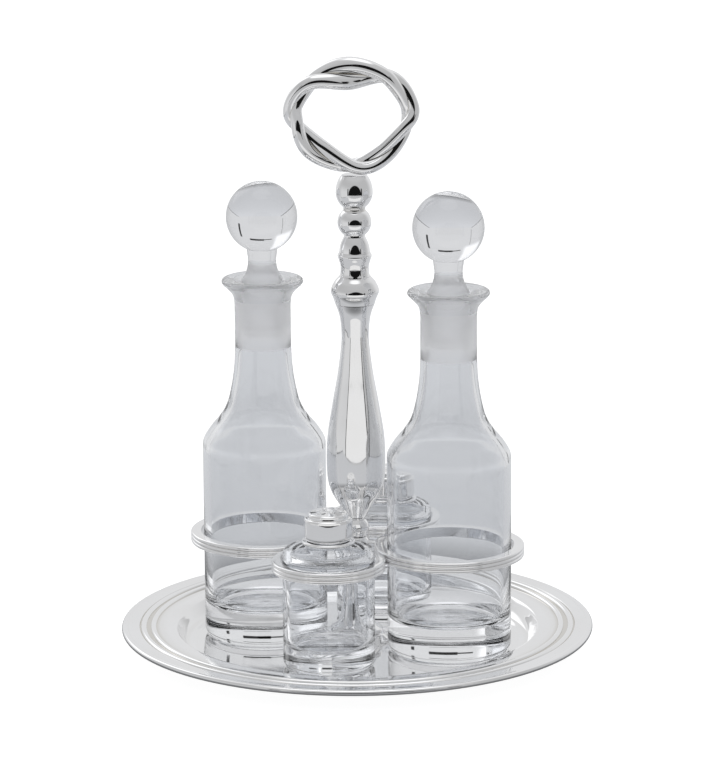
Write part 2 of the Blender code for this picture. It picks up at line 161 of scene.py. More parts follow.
# Metal and glass
PLATE = (0.93, 0.93, 0.935)
TARNISH = (0.72, 0.70, 0.66)
STEEL_DARK = (0.45, 0.45, 0.46)
STEEL_LIGHT = (0.66, 0.66, 0.67)
THIN_GLASS_TINT = (0.93, 0.937, 0.948)
SOLID_GLASS_TINT = (0.89, 0.895, 0.91)
FROST_TINT = (0.97, 0.972, 0.98)
# colour of the faint glow painted into the frost to lighten it
FROST_PAINTED_GLOW = (0.97, 0.98, 1.0)
GLASS_IOR = 1.5

# Camera
FRONT = math.radians(18.2)  # the side of the set that the camera faces, about +Z from -Y
CAMERA_UP = math.radians(13.6)
CAMERA_ROLL = math.radians(-0.4)
CAMERA_DISTANCE = 2.0
CAMERA_LENS = 212.2
SENSOR_WIDTH = 36.0
TARGET_Z = 0.11855
TARGET_ACROSS = 0.00087

# Floor, as the camera faces it: half width, half depth, how far back its middle is
FLOOR = (0.46, 0.64, 0.3)
FLOOR_EDGE = (0.435, 0.445, 0.15)  # where its dark edge starts and is full, and its light there
FLOOR_DEPTH = (0.0, 0.8, 0.6, 0.78)  # from how far back to how far back, and the light at each
FLOOR_PAINTED_SHADOW = (0.1, 0.17, 0.2)  # the set's painted shadow: where it starts to fade, where it ends, its light
FLOOR_COLOUR = (0.955, 0.97, 1.0)
FLOOR_SEEN_GREY = 0.3
FLOOR_SEEN_LIGHT = 0.95

# Card, as the camera faces it: half width, half height, where its middle is across, back and up
CARD = (0.1075, 0.0375, 0.0115, -0.12, 0.0975)
CARD_LIGHT = 0.85

# Tent: azimuths are in degrees from the camera's side, heights in degrees above level. The last
# number of a FROM, BELOW, ACROSS or BRIGHT is how soft its edge is, also in degrees.
TENT_LIGHT = 0.51
TENT_COLOUR = (0.985, 0.99, 1.0, 1.0)
BACKDROP_LIGHT = 1.2  # where the camera sees it directly
BEHIND_LIGHT = 0.27
BEHIND_FROM = (115.0, 25.0)
LEFT_LIGHT = 0.2
LEFT_ACROSS = (-95.0, -30.0, 14.0)
LEFT_BELOW = (10.0, 14.0)
HIGH_LIGHT = 0.06
HIGH_FROM = (42.0, 12.0)
TOP_LIGHT = 0.6
TOP_FROM = (68.0, 5.0)
BRIGHT_LIGHT = 0.5
BRIGHT = ((-160.0, -125.0), (14.0, 50.0), 4.0)
MOUTH_ACROSS = 4.0  # where its middle is
MOUTH_UP = -13.0
MOUTH_HALF = 40.0  # half its width, and its height above the middle
MOUTH_EDGE = 0.05
MOUTH_THROUGH_GLASS = 0.6  # how much weaker it is through glass
GAPS = (((-42.5, -37.0), (-15.0, 12.0)), ((43.0, 50.0), (-15.0, 12.0)))  # beside the mouth
GAP_SOFT = 0.6
BACKDROP_EDGES = (  # azimuths, heights and darkness of the backdrop's top and side edges
    ((-194.5, -165.5), (17.4, 18.7), 1.0),
    ((-194.5, -176.0), (16.8, 19.8), 1.0),
    ((151.0, 154.0), (-2.0, 17.0), 1.0),
    ((-153.5, -152.5), (-8.0, 12.0), 0.5),
)
BACKDROP_SOFT = 0.3
DARKNESS = 0.985  # of the mouth, the gaps and the edges


# Outlines -------------------------------------------------------------------------------------


def arc(centre_r, centre_z, radius, start, end, steps):
    """Points (r, z) on an arc, its angles in degrees from the +r direction."""
    points = []
    for i in range(steps + 1):
        angle = math.radians(start + (end - start) * i / steps)
        points.append((centre_r + radius * math.cos(angle), centre_z + radius * math.sin(angle)))
    return points


def oval(ball, start, end, steps):
    """Points (r, z) on the side of a ball on the axis that is taller or flatter than round."""
    centre_z, radius, half_height = ball
    stretch = half_height / radius
    return [(r, centre_z + z * stretch) for r, z in arc(0.0, 0.0, radius, start, end, steps)]


def half_round(crest_r, half_width, low_z, height, steps=10):
    """A low bead on a level face, from its inner foot over its crest to its outer foot."""
    radius = (half_width**2 + height**2) / (2 * height)
    reach = math.degrees(math.asin(half_width / radius))
    return arc(crest_r, low_z + height - radius, radius, 90 + reach, 90 - reach, steps)


def between(p0, p1, p2, p3, t):
    """A point of the smooth curve that runs from p1 to p2, t from 0 to 1."""
    return tuple(
        0.5 * (2 * b + (c - a) * t + (2 * a - 5 * b + 4 * c - d) * t * t + (3 * b - a - 3 * c + d) * t**3)
        for a, b, c, d in zip(p0, p1, p2, p3)
    )


def curve_through(points, steps):
    """A smooth open curve through the given points, with steps segments between each two."""
    made = []
    last = len(points) - 1
    for i in range(last):
        before = points[max(i - 1, 0)]
        after = points[min(i + 2, last)]
        for k in range(steps):
            made.append(between(before, points[i], points[i + 1], after, k / steps))
    made.append(points[-1])
    return made


def rounded(points, steps=4):
    """The same line with its corners rounded. A point is (r, z) or (r, z, how far the round reaches)."""
    made = []
    for i, point in enumerate(points):
        here = Vector(point[:2])
        if len(point) < 3 or i in (0, len(points) - 1):
            made.append(tuple(here))
            continue
        before = Vector(points[i - 1][:2]) - here
        after = Vector(points[i + 1][:2]) - here
        start = here + before.normalized() * min(point[2], before.length * 0.49)
        end = here + after.normalized() * min(point[2], after.length * 0.49)
        for k in range(steps + 1):
            t = k / steps
            made.append(tuple(start * (1 - t) ** 2 + here * 2 * t * (1 - t) + end * t * t))
    return made


def beneath(points, depth):
    """The same line moved a depth to the left of the way it runs."""
    normals = []
    for (r0, z0), (r1, z1) in zip(points, points[1:]):
        length = math.hypot(r1 - r0, z1 - z0)
        normals.append(((z0 - z1) / length, (r1 - r0) / length))
    made = []
    for i, (r, z) in enumerate(points):
        (ar, az), (br, bz) = normals[max(i - 1, 0)], normals[min(i, len(normals) - 1)]
        share = depth / (1 + ar * br + az * bz)
        made.append((r + (ar + br) * share, z + (az + bz) * share))
    return made


# Meshes ---------------------------------------------------------------------------------------


def finished(name, bm, finishes):
    """Makes an object of a bmesh, with smooth shading and its finishes in order."""
    mesh = bpy.data.meshes.new(name)
    bm.to_mesh(mesh)
    bm.free()
    for finish in finishes:
        mesh.materials.append(finish)
    smooth(mesh)
    made = bpy.data.objects.new(name, mesh)
    bpy.context.scene.collection.objects.link(made)
    return made


def smooth(mesh):
    mesh.shade_smooth()
    mesh.set_sharp_from_angle(angle=SHARP)


def turned(name, outline, steps, closed, finishes, chooser=None):
    """An object turned about Z. A point on the axis is one vertex, and chooser picks a face's finish."""
    bm = bmesh.new()
    rings = []
    for r, z in outline:
        if r < 1e-6:
            rings.append([bm.verts.new((0.0, 0.0, z * MM))])
            continue
        ring = []
        for k in range(steps):
            angle = math.tau * k / steps
            ring.append(bm.verts.new((r * math.cos(angle) * MM, r * math.sin(angle) * MM, z * MM)))
        rings.append(ring)
    pairs = list(zip(range(len(rings)), range(1, len(rings))))
    if closed:
        pairs.append((len(rings) - 1, 0))
    for a, b in pairs:
        one, two = rings[a], rings[b]
        middle = ((outline[a][0] + outline[b][0]) / 2, (outline[a][1] + outline[b][1]) / 2)
        finish = chooser(*middle) if chooser else 0
        for k in range(steps):
            n = (k + 1) % steps
            corners = [one[k % len(one)], one[n % len(one)], two[n % len(two)], two[k % len(two)]]
            face = bm.faces.new(list(dict.fromkeys(corners)))
            face.material_index = finish
    bmesh.ops.recalc_face_normals(bm, faces=bm.faces)
    return finished(name, bm, finishes)


def combined(target, tool, operation):
    """Joins a tool to a piece or cuts it out of one, and leaves one mesh."""
    boolean = target.modifiers.new("combine", "BOOLEAN")
    boolean.operation = operation
    boolean.solver = "EXACT"
    boolean.object = tool
    bpy.context.view_layer.update()
    shown = target.evaluated_get(bpy.context.evaluated_depsgraph_get())
    mesh = bpy.data.meshes.new_from_object(shown)
    target.modifiers.clear()
    target.data = mesh
    bpy.data.objects.remove(tool, do_unlink=True)


def settle(piece, node, body):
    """Puts a piece on its CAD node's axis, in its place and on its body."""
    low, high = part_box(node)
    piece.location.x = (low[0] + high[0]) / 2
    piece.location.y = (low[1] + high[1]) / 2
    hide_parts(node)
    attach(piece, body)


def silver_piece(node, outline, steps, closed=True, body="stand", finish=None):
    made = turned(node + "_turned", outline, steps, closed, [finish or SILVER])
    settle(made, node, body)


# Finishes -------------------------------------------------------------------------------------


class Nodes:
    """A node tree and short ways to add to it. A value is a number or another node's output."""

    def __init__(self, tree):
        self.tree = tree

    def new(self, kind):
        return self.tree.nodes.new("ShaderNode" + kind)

    def link(self, a, b):
        self.tree.links.new(a, b)

    def maths(self, operation, a, b=0.0):
        node = self.new("Math")
        node.operation = operation
        for socket, value in zip(node.inputs, (a, b)):
            if isinstance(value, (int, float)):
                socket.default_value = value
            else:
                self.link(value, socket)
        return node.outputs["Value"]

    def times(self, a, b):
        return self.maths("MULTIPLY", a, b)

    def plus(self, a, b):
        return self.maths("ADD", a, b)

    def minus(self, a, b):
        return self.maths("SUBTRACT", a, b)

    def spread(self, value, low, high, to_low, to_high):
        """Low to high becomes to_low to to_high, and it stays level beyond them."""
        node = self.new("MapRange")
        for key, number in (("From Min", low), ("From Max", high), ("To Min", to_low), ("To Max", to_high)):
            node.inputs[key].default_value = number
        self.link(value, node.inputs["Value"])
        return node.outputs["Result"]

    def length(self, vector):
        node = self.new("VectorMath")
        node.operation = "LENGTH"
        self.link(vector, node.inputs[0])
        return node.outputs["Value"]

    def split(self, vector):
        node = self.new("SeparateXYZ")
        self.link(vector, node.inputs[0])
        return node.outputs

    def emission(self, strength):
        node = self.new("Emission")
        if isinstance(strength, float):
            node.inputs["Strength"].default_value = strength
        else:
            self.link(strength, node.inputs["Strength"])
        return node


class Finish(Nodes):
    """A material with one Principled shader. Its textures are placed in the piece's own space."""

    def __init__(self, name):
        self.material = bpy.data.materials.new(name)
        self.material.use_nodes = True
        super().__init__(self.material.node_tree)
        self.shader = self.tree.nodes["Principled BSDF"]
        self.where = self.new("TexCoord").outputs["Object"]

    def set(self, **values):
        for key, value in values.items():
            self.shader.inputs[key.replace("_", " ")].default_value = value

    def drive(self, socket, value):
        self.link(value, self.shader.inputs[socket])

    def surface(self, node):
        """Shows another shader in place of the Principled one."""
        self.link(node.outputs[0], self.tree.nodes["Material Output"].inputs["Surface"])

    def noise(self, scale, detail=3.0, stretch=(1.0, 1.0, 1.0)):
        mapping = self.new("Mapping")
        mapping.inputs["Scale"].default_value = stretch
        self.link(self.where, mapping.inputs["Vector"])
        return self.noise_at(mapping.outputs["Vector"], scale, detail)

    def noise_at(self, place, scale, detail):
        node = self.new("TexNoise")
        node.inputs["Scale"].default_value = scale
        node.inputs["Detail"].default_value = detail
        self.link(place, node.inputs["Vector"])
        return node.outputs["Fac"]

    def rings(self, scale):
        """Uneven waves that run round the axis, as spun metal has."""
        uneven = 0.12  # how far the waves stray from true rings
        flat = self.new("VectorMath")
        flat.operation = "MULTIPLY"
        flat.inputs[1].default_value = (1.0, 1.0, 0.0)
        self.link(self.where, flat.inputs[0])
        x, y, _ = self.split(self.where)
        place = self.new("CombineXYZ")
        self.link(self.length(flat.outputs["Vector"]), place.inputs["X"])
        self.link(self.times(x, uneven), place.inputs["Y"])
        self.link(self.times(y, uneven), place.inputs["Z"])
        return self.noise_at(place.outputs["Vector"], scale, 1.0)

    def blend(self, value, first, second):
        node = self.new("Mix")
        node.data_type = "RGBA"
        node.inputs["A"].default_value = (*first, 1.0)
        node.inputs["B"].default_value = (*second, 1.0)
        self.link(value, node.inputs["Factor"])
        return node.outputs["Result"]

    def pointiness(self):
        return self.new("NewGeometry").outputs["Pointiness"]

    def bump(self, height, strength, distance):
        node = self.new("Bump")
        node.inputs["Strength"].default_value = strength
        node.inputs["Distance"].default_value = distance
        self.link(height, node.inputs["Height"])
        self.drive("Normal", node.outputs["Normal"])


def silver(name, spun):
    """Polished plate: a soft cloth's hairlines, faint finger marks, and tarnish left in the grooves."""
    made = Finish(name)
    made.set(Metallic=1.0)
    groove = made.spread(made.pointiness(), 0.44, 0.5, 1.0, 0.0)
    patch = made.spread(made.noise(35.0), 0.35, 0.75, 0.0, 0.5)
    tarnish = made.maths("MAXIMUM", groove, made.times(patch, 0.35))
    made.drive("Base Color", made.blend(tarnish, PLATE, TARNISH))
    marks = made.spread(made.noise(60.0, 4.0), 0.45, 0.75, 0.0, 0.035)
    hairs = made.spread(made.noise(900.0, 2.0, (1.0, 1.0, 0.1)), 0.3, 0.8, 0.0, 0.03)
    made.drive("Roughness", made.plus(made.plus(marks, hairs), 0.035))
    if spun:
        made.bump(made.rings(95.0), 0.14, 0.0005)
    else:
        made.bump(made.noise(70.0, 2.0), 0.05, 0.0004)
    return made.material


def clear_glass(name, tint):
    """Clear glass with the slow waves of a mould and a few dull specks."""
    made = Finish(name)
    made.set(Base_Color=(*tint, 1.0), IOR=GLASS_IOR, Transmission_Weight=1.0)
    made.drive("Roughness", made.spread(made.noise(420.0, 5.0), 0.62, 0.8, 0.0, 0.05))
    made.bump(made.noise(55.0, 1.0, (1.0, 1.0, 0.35)), 0.08, 0.0005)
    return made.material


def ground_glass():
    """The ground faces of neck and shank: an even fine frost, cloudier in patches, lit by a faint painted
    glow.
    """
    made = Finish("ground_glass")
    made.set(Base_Color=(*FROST_TINT, 1.0), IOR=GLASS_IOR, Transmission_Weight=0.9)
    # painted light: a faint emission that lightens the frost, though the glass is no lamp
    made.set(Emission_Color=(*FROST_PAINTED_GLOW, 1.0), Emission_Strength=0.03)
    made.drive("Roughness", made.spread(made.noise(160.0, 4.0), 0.3, 0.7, 0.42, 0.6))
    made.bump(made.noise(2600.0, 2.0), 0.25, 0.00005)
    return made.material


def steel():
    """Turned steel of the hidden fixings, with tool marks round its axis."""
    made = Finish("turned_steel")
    made.set(Metallic=1.0)
    marks = made.noise(500.0, 3.0, (0.2, 0.2, 4.0))
    made.drive("Base Color", made.blend(marks, STEEL_DARK, STEEL_LIGHT))
    made.drive("Roughness", made.spread(marks, 0.3, 0.7, 0.22, 0.42))
    made.bump(marks, 0.15, 0.0001)
    return made.material


SILVER = silver("silver_plate", False)
SPUN_SILVER = silver("spun_silver_plate", True)
GLASS = clear_glass("clear_glass", THIN_GLASS_TINT)
SOLID_GLASS = clear_glass("solid_glass", SOLID_GLASS_TINT)
GROUND = ground_glass()
STEEL = steel()


# Stand ----------------------------------------------------------------------------------------


def tray():
    low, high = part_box("tray")
    rim_r = (high[0] - low[0]) / 2 / MM
    wall = [(BOSS_R + 2.0, TRAY_T), *curve_through(DISH_WALL, 6), (STEP_R, STEP_Z)]
    outline = rounded(
        [(BORE_R, BOSS_TOP_Z), (BOSS_TOP_R, BOSS_TOP_Z, 0.9), (BOSS_R + 1.0, TRAY_T, 1.0), wall[0]]
    )
    outline += wall[1:]
    for crest_r, half_width in REEDS:
        outline += half_round(crest_r, half_width, REED_Z, REED_HEIGHT)
    outline += rounded([(96.9, REED_Z), (97.2, BAND_Z, 0.2), (102.3, BAND_Z, 0.5), (102.9, RIM_Z - 0.1)])
    outline += arc(rim_r - LIP_R, RIM_Z - LIP_R, LIP_R, 110, -50, 14)
    # and back below
    outline += [(rim_r - 1.6, RIM_Z - 2.4), (rim_r - 3.0, BAND_Z - TRAY_T), (STEP_R + 3.0, GROOVE_Z - TRAY_T)]
    outline += reversed(beneath(wall, -TRAY_T))
    boss_z = BOSS_TOP_Z - TRAY_T
    outline += rounded([(BOSS_R, 0.0), (BOSS_TOP_R - 0.8, boss_z, 0.6), (BORE_R, boss_z)])
    silver_piece("tray", outline, FINE, finish=SPUN_SILVER)


def bored(node, outer):
    """A piece of the post, with the bore for the tie rod."""
    silver_piece(node, [*outer, (BORE_R, outer[-1][1]), (BORE_R, outer[0][1])], MEDIUM)


def foot():
    outer = rounded([(11.0, 5.7), (11.4, 6.0, 0.2), (11.4, 7.0, 0.4), (10.4, 7.7)])
    outer += curve_through([(10.4, 7.7), (7.2, 11.2), (5.2, 20.0), (4.6, 32.0), (5.0, 44.0)], 8)[1:]
    bored("post_foot", outer)


def bead():
    ball = arc(0.0, BEAD_Z, BEAD_R, -40, 40, 20)
    bored("post_bead", [(4.2, 49.7), *ball, *rounded([(4.1, 57.2), (4.0, 57.6, 0.2), (4.4, 58.3)])])


def baluster():
    """The vase, hollow between its two ends."""
    vase = [(4.6, BALUSTER_Z), (7.7, 64.4), (11.0, 70.2), (12.8, 78.0), (12.7, 94.0), (10.3, 110.0)]
    vase += [(7.8, 124.0), (6.2, 137.0), (6.1, 143.0), (6.6, 148.4), (7.4, 151.8), (8.7, 155.3)]
    outer = curve_through(vase, 8)
    low, high = BALUSTER_HOLLOW
    inner = [(max(r - BALUSTER_SKIN, BORE_R), z) for r, z in outer[::4] if low < z < high]
    bore = [(BORE_R, z) for z in (outer[-1][1], high)]
    silver_piece("baluster", [*outer, *bore, *reversed(inner), (BORE_R, low), (BORE_R, BALUSTER_Z)], MEDIUM)


def collar():
    outer = [(8.8, 155.6), (9.3, 157.3, 0.8), (9.8, 158.6, 0.7), (10.5, 160.0, 0.7), (10.7, 161.3, 0.7)]
    outer += [(10.3, 162.7, 0.7), (9.6, 164.1, 0.7), (8.9, 165.4, 0.7), (7.4, 167.0, 0.6), (7.0, 167.5)]
    bored("baluster_collar", rounded(outer, 6))


def acorn():
    outer = curve_through([(6.7, 167.8), (6.3, 169.4), (6.3, 172.4), (7.0, 175.0), (7.35, 176.2)], 5)
    outer += rounded([(7.5, 176.5), (7.55, 177.1, 0.3), (7.2, 177.7, 0.3), (6.9, 178.1)])
    outer += curve_through([(6.75, 178.5), (6.55, 180.3), (5.9, 182.7), (4.7, 185.3)], 6)
    bored("post_acorn", outer)


def stem():
    """The two balls under the ring, with a blind bore for the rod's end."""
    outline = [(0.0, STEM_BORE_Z + 0.9), (BORE_R, STEM_BORE_Z), (BORE_R, STEM_Z), (4.7, STEM_Z)]
    outline += oval(LOWER_BALL, -51, 49, 26)
    outline += [STEM_NECK]
    outline += oval(UPPER_BALL_LOW, -53, 0, 16)
    outline += oval(UPPER_BALL_HIGH, 3, 45, 14)
    outline += rounded([(5.7, STEM_TOP_Z - 0.2), (5.4, STEM_TOP_Z, 0.2), (0.0, STEM_TOP_Z)])
    silver_piece("handle_stem", outline, MEDIUM, closed=False)


def arm(start, end):
    """A rounded level bar from one point to another."""
    bm = bmesh.new()
    bmesh.ops.create_cube(bm, size=1.0)
    length = (Vector(end) - Vector(start)).length
    for v in bm.verts:
        v.co = Vector((v.co.x * length, v.co.y * ARM_WIDTH, v.co.z * ARM_HEIGHT)) * MM
    bmesh.ops.bevel(bm, geom=bm.edges, offset=ARM_EDGE * MM, segments=4, affect="EDGES", profile=0.5)
    turn = math.atan2(end[1] - start[1], end[0] - start[0])
    middle = (Vector(start) + Vector(end)) / 2
    bmesh.ops.rotate(bm, verts=bm.verts, matrix=Matrix.Rotation(turn, 3, "Z"))
    bmesh.ops.translate(bm, verts=bm.verts, vec=Vector((middle.x, middle.y, ARM_Z)) * MM)
    return finished("arm", bm, [SILVER])


def bracket():
    """The hub and its four arms, each reaching to a ring holder."""
    outline = rounded([(6.4, HUB_Z), (6.8, 45.0, 0.3), (6.6, 46.6, 0.5), (4.6, HUB_TOP_Z)])
    outline += [(BORE_R, HUB_TOP_Z), (BORE_R, HUB_Z)]
    hub = turned("ring_bracket_turned", outline, SMALL, True, [SILVER])
    _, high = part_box("ring_bracket")
    for x, y in ((1, 0), (-1, 0), (0, 1), (0, -1)):
        reach = (high[0] if x else high[1]) / MM
        bar = arm((x * ARM_START, y * ARM_START), (x * reach, y * reach))
        combined(hub, bar, "UNION")
    smooth(hub.data)
    settle(hub, "ring_bracket", "stand")


def ring_holder(node, wall):
    """A band with a plain inside and three half-round reeds outside."""
    low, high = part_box(node)
    outer = (high[0] - low[0]) / 2 / MM
    inner = outer - wall
    base, top = low[2] / MM, high[2] / MM
    reed = (top - base) / HOLDER_REEDS
    reed_r = outer - HOLDER_REED_H
    outline = rounded([(inner, base + 0.6), (inner, base, HOLDER_EDGE), (reed_r - HOLDER_LEDGE, base)])
    for i in range(HOLDER_REEDS):
        outline += arc(reed_r, base + reed * (i + 0.5), reed / 2, -84, 84, 10)
    outline += rounded([(reed_r - HOLDER_LEDGE, top), (inner, top, HOLDER_EDGE), (inner, top - 0.6)])
    silver_piece(node, outline, FINE)


def strand_section(radius, spread, turn):
    """The outline of two round strands side by side, merged, turned about the ring's line."""
    half = spread / 2
    open_angle = math.acos(min(half / radius, WIDEST_SPREAD))
    points = []
    for side in (0, 1):
        for i in range(STRAND_POINTS):
            angle = (open_angle - math.pi) + (math.tau - 2 * open_angle) * i / STRAND_POINTS
            point = Vector((radius * math.cos(angle) + half, radius * math.sin(angle)))
            points.append(Matrix.Rotation(turn + math.pi * side, 2) @ point)
    return points


def handle_ring():
    """Two strands twisted five half turns round an oval, cast as one ring."""
    count = len(HANDLE_STATIONS)
    total = count * STEPS_PER_STATION
    line = []
    for i in range(count):
        four = [HANDLE_STATIONS[(i + k) % count] for k in (-1, 0, 1, 2)]
        line += [between(*four, k / STEPS_PER_STATION) for k in range(STEPS_PER_STATION)]
    bm = bmesh.new()
    loops = []
    for i, (across, up, spread, radius) in enumerate(line):
        ahead = line[(i + 1) % total]
        behind = line[i - 1]
        along = Vector((ahead[0] - behind[0], ahead[1] - behind[1])).normalized()
        outward = Vector((along.y, -along.x))
        turn = math.pi / 2 * (1 - i / STEPS_PER_STATION)
        loop = []
        for a, b in strand_section(radius, spread, turn):
            x = HANDLE_CENTRE[0] + across + outward.x * a
            z = HANDLE_CENTRE[1] + up + outward.y * a
            loop.append(bm.verts.new(Vector((x, -b, z)) * MM))
        loops.append(loop)
    size = len(loops[0])
    for i in range(total):
        # the strands have changed places when the ring closes
        shift = STRAND_POINTS if i == total - 1 else 0
        after = loops[(i + 1) % total]
        for k in range(size):
            n = (k + 1) % size
            bm.faces.new((loops[i][k], loops[i][n], after[(n + shift) % size], after[(k + shift) % size]))
    bmesh.ops.recalc_face_normals(bm, faces=bm.faces)
    made = finished("handle_ring_twisted", bm, [SILVER])
    made.rotation_euler = (0.0, 0.0, HANDLE_TURN)
    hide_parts("handle_ring")
    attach(made, "stand")


# Vessels --------------------------------------------------------------------------------------


def bottle(side):
    """A blown bottle: its outside from the middle of the base to the lip, then its inside."""
    outline = [(0.0, 2.3), (12.0, 2.2), (20.0, 1.8)]
    base = [(23.4, FOOT_Z), (25.6, FOOT_Z, 1.0), (BOTTLE_R, 3.6, 1.2), (BOTTLE_R, BOTTLE_SHOULDER_Z)]
    outline += rounded(base, 6)
    shoulder = [(BOTTLE_R, 87.5), (27.0, 91.1), (24.0, 96.1), (19.6, 101.5), (16.4, 107.1)]
    shoulder += [(14.4, 114.5), (13.0, 123.5), (NECK_R, 133.5)]
    outline += curve_through(shoulder, 6)
    flare = [(NECK_R, 150.0), (12.5, 153.5), (13.2, 156.7), (15.0, 159.1), (17.3, 161.3)]
    outline += curve_through(flare, 5)
    outline += arc(*BOTTLE_LIP, -40, 100, 10)
    outline += rounded([(12.6, 163.6), (10.2, 163.3, 0.6), (9.6, 162.7)])
    outline += [(8.4, 141.0)]
    inside = [(8.5, 140.7), (9.9, 138.3), (10.0, 131.5), (10.6, 122.5), (12.0, 113.5), (14.2, 104.9)]
    inside += [(18.0, 98.5), (21.8, 93.3), (24.2, 88.6), (BOTTLE_BORE_R, BOTTLE_SHOULDER_Z)]
    outline += curve_through(inside, 5)
    bottom = [(BOTTLE_BORE_R, 22.0), (23.9, 18.6), (21.4, 16.2), (17.0, 15.0), (8.0, 14.6), (0.0, 14.5)]
    outline += curve_through(bottom, 5)
    made = turned(f"bottle_{side}_blown", outline, MEDIUM, False, [GLASS, GROUND], ground_bore)
    settle(made, f"bottle_{side}", f"bottle_{side}_body")


def ground_bore(r, z):
    return 1 if r < GROUND_REACH_R and z > GROUND_LOW_Z else 0


def stopper(side):
    """A solid stopper: shank, waist and ball."""
    shank = rounded([(0.0, SHANK_LOW_Z), (7.6, SHANK_LOW_Z, 0.4), (8.1, 142.0, 0.3), SHANK_TOP])
    waist = curve_through([(9.2, 163.4), (7.9, 165.4), (6.7, 168.4), (6.2, 172.0), (6.6, 175.6)], 6)
    ball = arc(0.0, BALL_Z, BALL_R, -64.5, 90, 48)
    outline = [*shank, *waist, *ball[:-1], (0.0, BALL_Z + BALL_R)]
    made = turned(f"stopper_{side}_turned", outline, MEDIUM, False, [SOLID_GLASS, GROUND], ground_shank)
    settle(made, f"stopper_{side}", f"stopper_{side}_body")


def ground_shank(r, z):
    return 1 if z < GROUND_HIGH_Z else 0


def jar(side):
    """A pressed jar: its outside from the middle of the base to the top, then its inside."""
    outline = [(0.0, 2.1), (9.0, 2.0), (14.0, 1.7)]
    outline += rounded([(16.4, FOOT_Z), (18.6, FOOT_Z, 0.9), (JAR_R, 3.3, 0.9), (JAR_R, 50.6)], 6)
    outline += arc(*JAR_SHOULDER, 6, 80, 10)
    neck = [(12.0, 55.3), (10.4, 55.7, 0.5), (JAR_NECK_R, 56.3, 0.3), (JAR_NECK_R, 65.9, 0.3)]
    outline += rounded([*neck, (8.5, JAR_TOP_Z)])
    outline += rounded([(6.9, JAR_TOP_Z), (6.4, 66.0, 0.2), (6.4, 56.0)])
    outline += curve_through([(6.5, 55.3), (10.0, 53.6), (15.0, 51.9), (17.2, 50.2), (JAR_BORE_R, 47.5)], 5)
    outline += curve_through([(JAR_BORE_R, 15.5), (17.1, 12.6), (15.0, 10.8), (11.0, 9.9), (0.0, 9.7)], 5)
    made = turned(f"shaker_jar_{side}_pressed", outline, MEDIUM, False, [GLASS])
    settle(made, f"shaker_jar_{side}", f"shaker_{side}_body")


def neck_collar(side):
    low, high = COLLAR_Z
    edge = [(11.3, low, 0.2), (11.8, low + 0.5, 0.4), (11.8, high - 0.5, 0.4), (11.3, high, 0.2)]
    outline = rounded([(COLLAR_BORE_R, low), *edge, (COLLAR_BORE_R, high)])
    silver_piece(f"neck_collar_{side}", outline, MEDIUM, body=f"shaker_{side}_body")


def pegs():
    """The pegs that cut a cap's sprinkle holes."""
    bm = bmesh.new()
    centres = [(0.0, 0.0)]
    for i in range(HOLES):
        angle = HOLES_TURN + math.tau * i / HOLES
        centres.append((HOLES_R * math.cos(angle), HOLES_R * math.sin(angle)))
    for x, y in centres:
        peg = bmesh.ops.create_cone(
            bm, cap_ends=True, segments=20, radius1=HOLE_R * MM, radius2=HOLE_R * MM, depth=PEG_LENGTH * MM
        )
        bmesh.ops.translate(bm, verts=peg["verts"], vec=Vector((x, y, PEG_Z)) * MM)
    return finished("pegs", bm, [SILVER])


def cap(side):
    """A stepped cap, closed on top but for its sprinkle holes."""
    outline = [(0.0, CAP_TOP_Z)]
    crown = [(4.0, 70.95), (8.2, 70.6, 0.4), (9.0, 69.8, 0.5), (9.0, 68.5, 0.2), (9.8, 68.4)]
    outline += rounded(crown, 6)
    outline += curve_through([(9.9, 68.38), (10.38, 68.0), (10.64, 67.3), (CAP_R, 66.3)], 5)
    outline += curve_through([(CAP_R, 61.8), (10.6, 60.2), (10.35, 59.1), (9.9, 58.6)], 5)
    outline += rounded([(CAP_BORE_R, 58.9), (CAP_BORE_R, 67.8, 0.3), (7.6, 69.0, 0.5), (0.0, 69.2)])
    made = turned(f"shaker_cap_{side}_spun", outline, MEDIUM, False, [SILVER])
    combined(made, pegs(), "DIFFERENCE")
    settle(made, f"shaker_cap_{side}", f"cap_{side}_body")


# Studio ---------------------------------------------------------------------------------------


def floor():
    """A pale sweep under the set, lighter further back, with a dark edge at each side.

    It is white to the camera, and has its own light where the set reflects or bends it, dimmed in a painted
    shadow round the set.
    """
    half_width, half_depth, back = FLOOR
    bm = bmesh.new()
    bmesh.ops.create_grid(bm, x_segments=8, y_segments=8, size=1.0)
    for v in bm.verts:
        v.co = Vector((v.co.x * half_width, v.co.y * half_depth + back, 0.0))
    finish = Finish("floor")
    x, y, _ = finish.split(finish.where)
    edge_start, edge_full, edge_light = FLOOR_EDGE
    edge = finish.spread(finish.maths("ABSOLUTE", x), edge_start, edge_full, 1.0, edge_light)
    depth = finish.spread(y, *FLOOR_DEPTH)
    near_start, near_end, near_light = FLOOR_PAINTED_SHADOW
    # painted shadow of the set: the floor's light dims towards the tray
    near = finish.spread(finish.length(finish.where), near_start, near_end, near_light, 1.0)
    lit = finish.emission(finish.times(finish.times(edge, depth), near))
    lit.inputs["Color"].default_value = (*FLOOR_COLOUR, 1.0)
    grey = finish.new("BsdfDiffuse")
    grey.inputs["Color"].default_value = (FLOOR_SEEN_GREY, FLOOR_SEEN_GREY, FLOOR_SEEN_GREY, 1.0)
    seen = finish.new("AddShader")
    finish.link(grey.outputs[0], seen.inputs[0])
    finish.link(finish.emission(FLOOR_SEEN_LIGHT).outputs[0], seen.inputs[1])
    choice = finish.new("MixShader")
    finish.link(finish.new("LightPath").outputs["Is Camera Ray"], choice.inputs[0])
    finish.link(lit.outputs[0], choice.inputs[1])
    finish.link(seen.outputs[0], choice.inputs[2])
    finish.surface(choice)
    sweep = finished("floor", bm, [finish.material])
    sweep.rotation_euler = (0.0, 0.0, FRONT)


